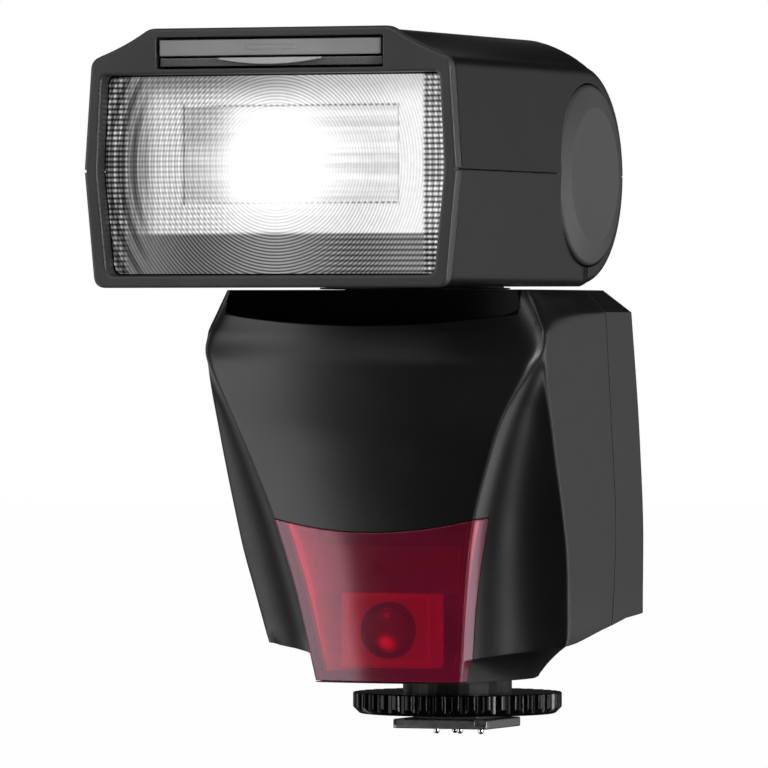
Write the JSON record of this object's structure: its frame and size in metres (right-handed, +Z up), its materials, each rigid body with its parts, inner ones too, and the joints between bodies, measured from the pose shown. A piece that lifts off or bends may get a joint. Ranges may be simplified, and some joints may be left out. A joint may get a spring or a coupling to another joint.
{
  "type": "speedlight flash",
  "caption": "Shoe-mount camera flash with a zooming lamp head that tilts and swivels, pull-out panels, a red focus-assist window and a ribbed lock ring on its foot.",
  "frame": {"origin": "centre of the shoe foot's underside", "axes": "+Z up, -Y the way the lamp faces at rest, +X to the right of somebody looking into the lamp"},
  "size_m": [0.0702, 0.1088, 0.1268],
  "materials": {
    "shell": "satin black moulded polycarbonate, fine spark texture",
    "bezel": "charcoal moulded polycarbonate, satin",
    "disc": "dark grey moulded plastic, satin",
    "clear": "clear moulded acrylic with stepped prisms",
    "card": "grey moulded plastic",
    "red": "wine red translucent polycarbonate, glossy",
    "mirror": "bright anodised reflector sheet",
    "steel": "plain steel",
    "foot_metal": "dark anodised metal, satin",
    "pin_metal": "bright nickel-plated contact",
    "ring": "glossy black moulded plastic",
    "inner": "black moulded plastic",
    "board": "green solder mask on glass epoxy",
    "cell": "plain printed battery sleeve",
    "brass": "plain brass",
    "screen": "liquid crystal display glass, grey green",
    "button": "dark grey soft-touch plastic"
  },
  "bodies": {
    "body": {"front_shell": "shell", "rear_shell": "shell", "focus_window": "red", "focus_lamp_frame": "inner", "focus_lamp_lens": "clear", "focus_led": "red", "battery_box": "inner", "cell_1": "cell", "cell_2": "cell", "cell_3": "cell", "cell_4": "cell", "battery_end_contacts": "steel", "battery_door_pin": "steel", "main_board": "board", "main_capacitor": "inner", "trigger_coil": "brass", "charge_transformer": "brass", "display_module": "screen", "display_window": "clear", "ready_lamp": "red", "foot_block": "inner", "shoe_foot": "foot_metal", "foot_screw_left": "steel", "foot_screw_right": "steel"},
    "neck": {"swivel_neck": "inner", "swivel_retaining_ring": "steel", "tilt_shaft": "steel"},
    "head": {"head_upper_shell": "shell", "head_lower_shell": "shell", "front_bezel": "bezel", "fresnel_lens": "clear", "panel_tray": "inner", "guide_rod_left": "steel", "guide_rod_right": "steel", "zoom_motor": "steel", "tilt_click_plate": "steel", "pivot_cap": "disc"},
    "wide_panel": {"wide_panel": "clear"},
    "bounce_card": {"bounce_card": "card"},
    "zoom_carriage": {"zoom_carriage": "inner", "reflector": "mirror", "flash_tube": "clear"},
    "lead_screw": {"lead_screw": "brass"},
    "tilt_release_button": {"tilt_release_button": "disc"},
    "battery_door": {"battery_door": "shell", "battery_door_contacts": "brass"},
    "battery_door_catch": {"battery_door_catch": "button"},
    "clamp_washer": {"clamp_washer": "steel"},
    "lock_ring": {"lock_ring": "ring"},
    "power_switch": {"power_switch": "button"},
    "test_button": {"test_button": "button"},
    "contact_pin_centre": {"contact_pin_centre": "pin_metal"},
    "contact_pin_left": {"contact_pin_left": "pin_metal"},
    "contact_pin_right": {"contact_pin_right": "pin_metal"},
    "contact_pin_rear": {"contact_pin_rear": "pin_metal"},
    "mode_button": {"mode_button": "button"},
    "zoom_button": {"zoom_button": "button"},
    "light_button": {"light_button": "button"},
    "minus_button": {"minus_button": "button"},
    "plus_button": {"plus_button": "button"}
  },
  "joints": [
    {"name": "head_swivel", "type": "hinge", "parent": "body", "child": "neck", "pos_m": [0, -0.021, 0.08], "axis": [0, 0, 1], "range_deg": [-120, 180]},
    {"name": "head_tilt", "type": "hinge", "parent": "neck", "child": "head", "pos_m": [0, -0.021, 0.1006], "axis": [-1, 0, 0], "range_deg": [0, 90]},
    {"name": "wide_panel_slide", "type": "slide", "parent": "head", "child": "wide_panel", "axis": [0, -1, 0], "range_m": [0, 0.04]},
    {"name": "bounce_card_slide", "type": "slide", "parent": "head", "child": "bounce_card", "axis": [0, -1, 0], "range_m": [0, 0.038]},
    {"name": "zoom_slide", "type": "slide", "parent": "head", "child": "zoom_carriage", "axis": [0, -1, 0], "range_m": [0, 0.014]},
    {"name": "lead_screw_turn", "type": "hinge", "parent": "head", "child": "lead_screw", "pos_m": [0.023, -0.06, 0.089], "axis": [0, -1, 0], "range_deg": [0, 1681]},
    {"name": "tilt_release_press", "type": "slide", "parent": "head", "child": "tilt_release_button", "axis": [-1, 0, 0], "range_m": [0, 0.0015]},
    {"name": "battery_door_swing", "type": "hinge", "parent": "body", "child": "battery_door", "pos_m": [-0.032, -0.0015, 0.0545], "axis": [0, 0, -1], "range_deg": [0, 95]},
    {"name": "battery_door_catch_slide", "type": "slide", "parent": "battery_door", "child": "battery_door_catch", "axis": [0, 0, 1], "range_m": [0, 0.003]},
    {"name": "clamp_washer_lift", "type": "slide", "parent": "body", "child": "clamp_washer", "axis": [0, 0, 1], "range_m": [0, 0.0009]},
    {"name": "lock_ring_turn", "type": "hinge", "parent": "clamp_washer", "child": "lock_ring", "pos_m": [0, 0, 0.0045], "axis": [0, 0, 1], "range_deg": [0, 270]},
    {"name": "contact_pin_centre_press", "type": "slide", "parent": "body", "child": "contact_pin_centre", "axis": [0, 0, 1], "range_m": [0, 0.0008]},
    {"name": "contact_pin_left_press", "type": "slide", "parent": "body", "child": "contact_pin_left", "axis": [0, 0, 1], "range_m": [0, 0.0008]},
    {"name": "contact_pin_right_press", "type": "slide", "parent": "body", "child": "contact_pin_right", "axis": [0, 0, 1], "range_m": [0, 0.0008]},
    {"name": "contact_pin_rear_press", "type": "slide", "parent": "body", "child": "contact_pin_rear", "axis": [0, 0, 1], "range_m": [0, 0.0008]},
    {"name": "mode_button_press", "type": "slide", "parent": "body", "child": "mode_button", "axis": [0, -1, 0], "range_m": [0, 0.0006]},
    {"name": "zoom_button_press", "type": "slide", "parent": "body", "child": "zoom_button", "axis": [0, -1, 0], "range_m": [0, 0.0006]},
    {"name": "light_button_press", "type": "slide", "parent": "body", "child": "light_button", "axis": [0, -1, 0], "range_m": [0, 0.0006]},
    {"name": "minus_button_press", "type": "slide", "parent": "body", "child": "minus_button", "axis": [0, -1, 0], "range_m": [0, 0.0006]},
    {"name": "plus_button_press", "type": "slide", "parent": "body", "child": "plus_button", "axis": [0, -1, 0], "range_m": [0, 0.0006]},
    {"name": "test_button_press", "type": "slide", "parent": "body", "child": "test_button", "axis": [0, -1, 0], "range_m": [0, 0.0006]},
    {"name": "power_switch_slide", "type": "slide", "parent": "body", "child": "power_switch", "axis": [1, 0, 0], "range_m": [0, 0.004]}
  ],
  "couplings": [
    {"joint": "lead_screw_turn", "follows": "zoom_slide", "rad_per_m": 2094.4},
    {"joint": "clamp_washer_lift", "follows": "lock_ring_turn", "m_per_rad": 0.00019098}
  ]
}
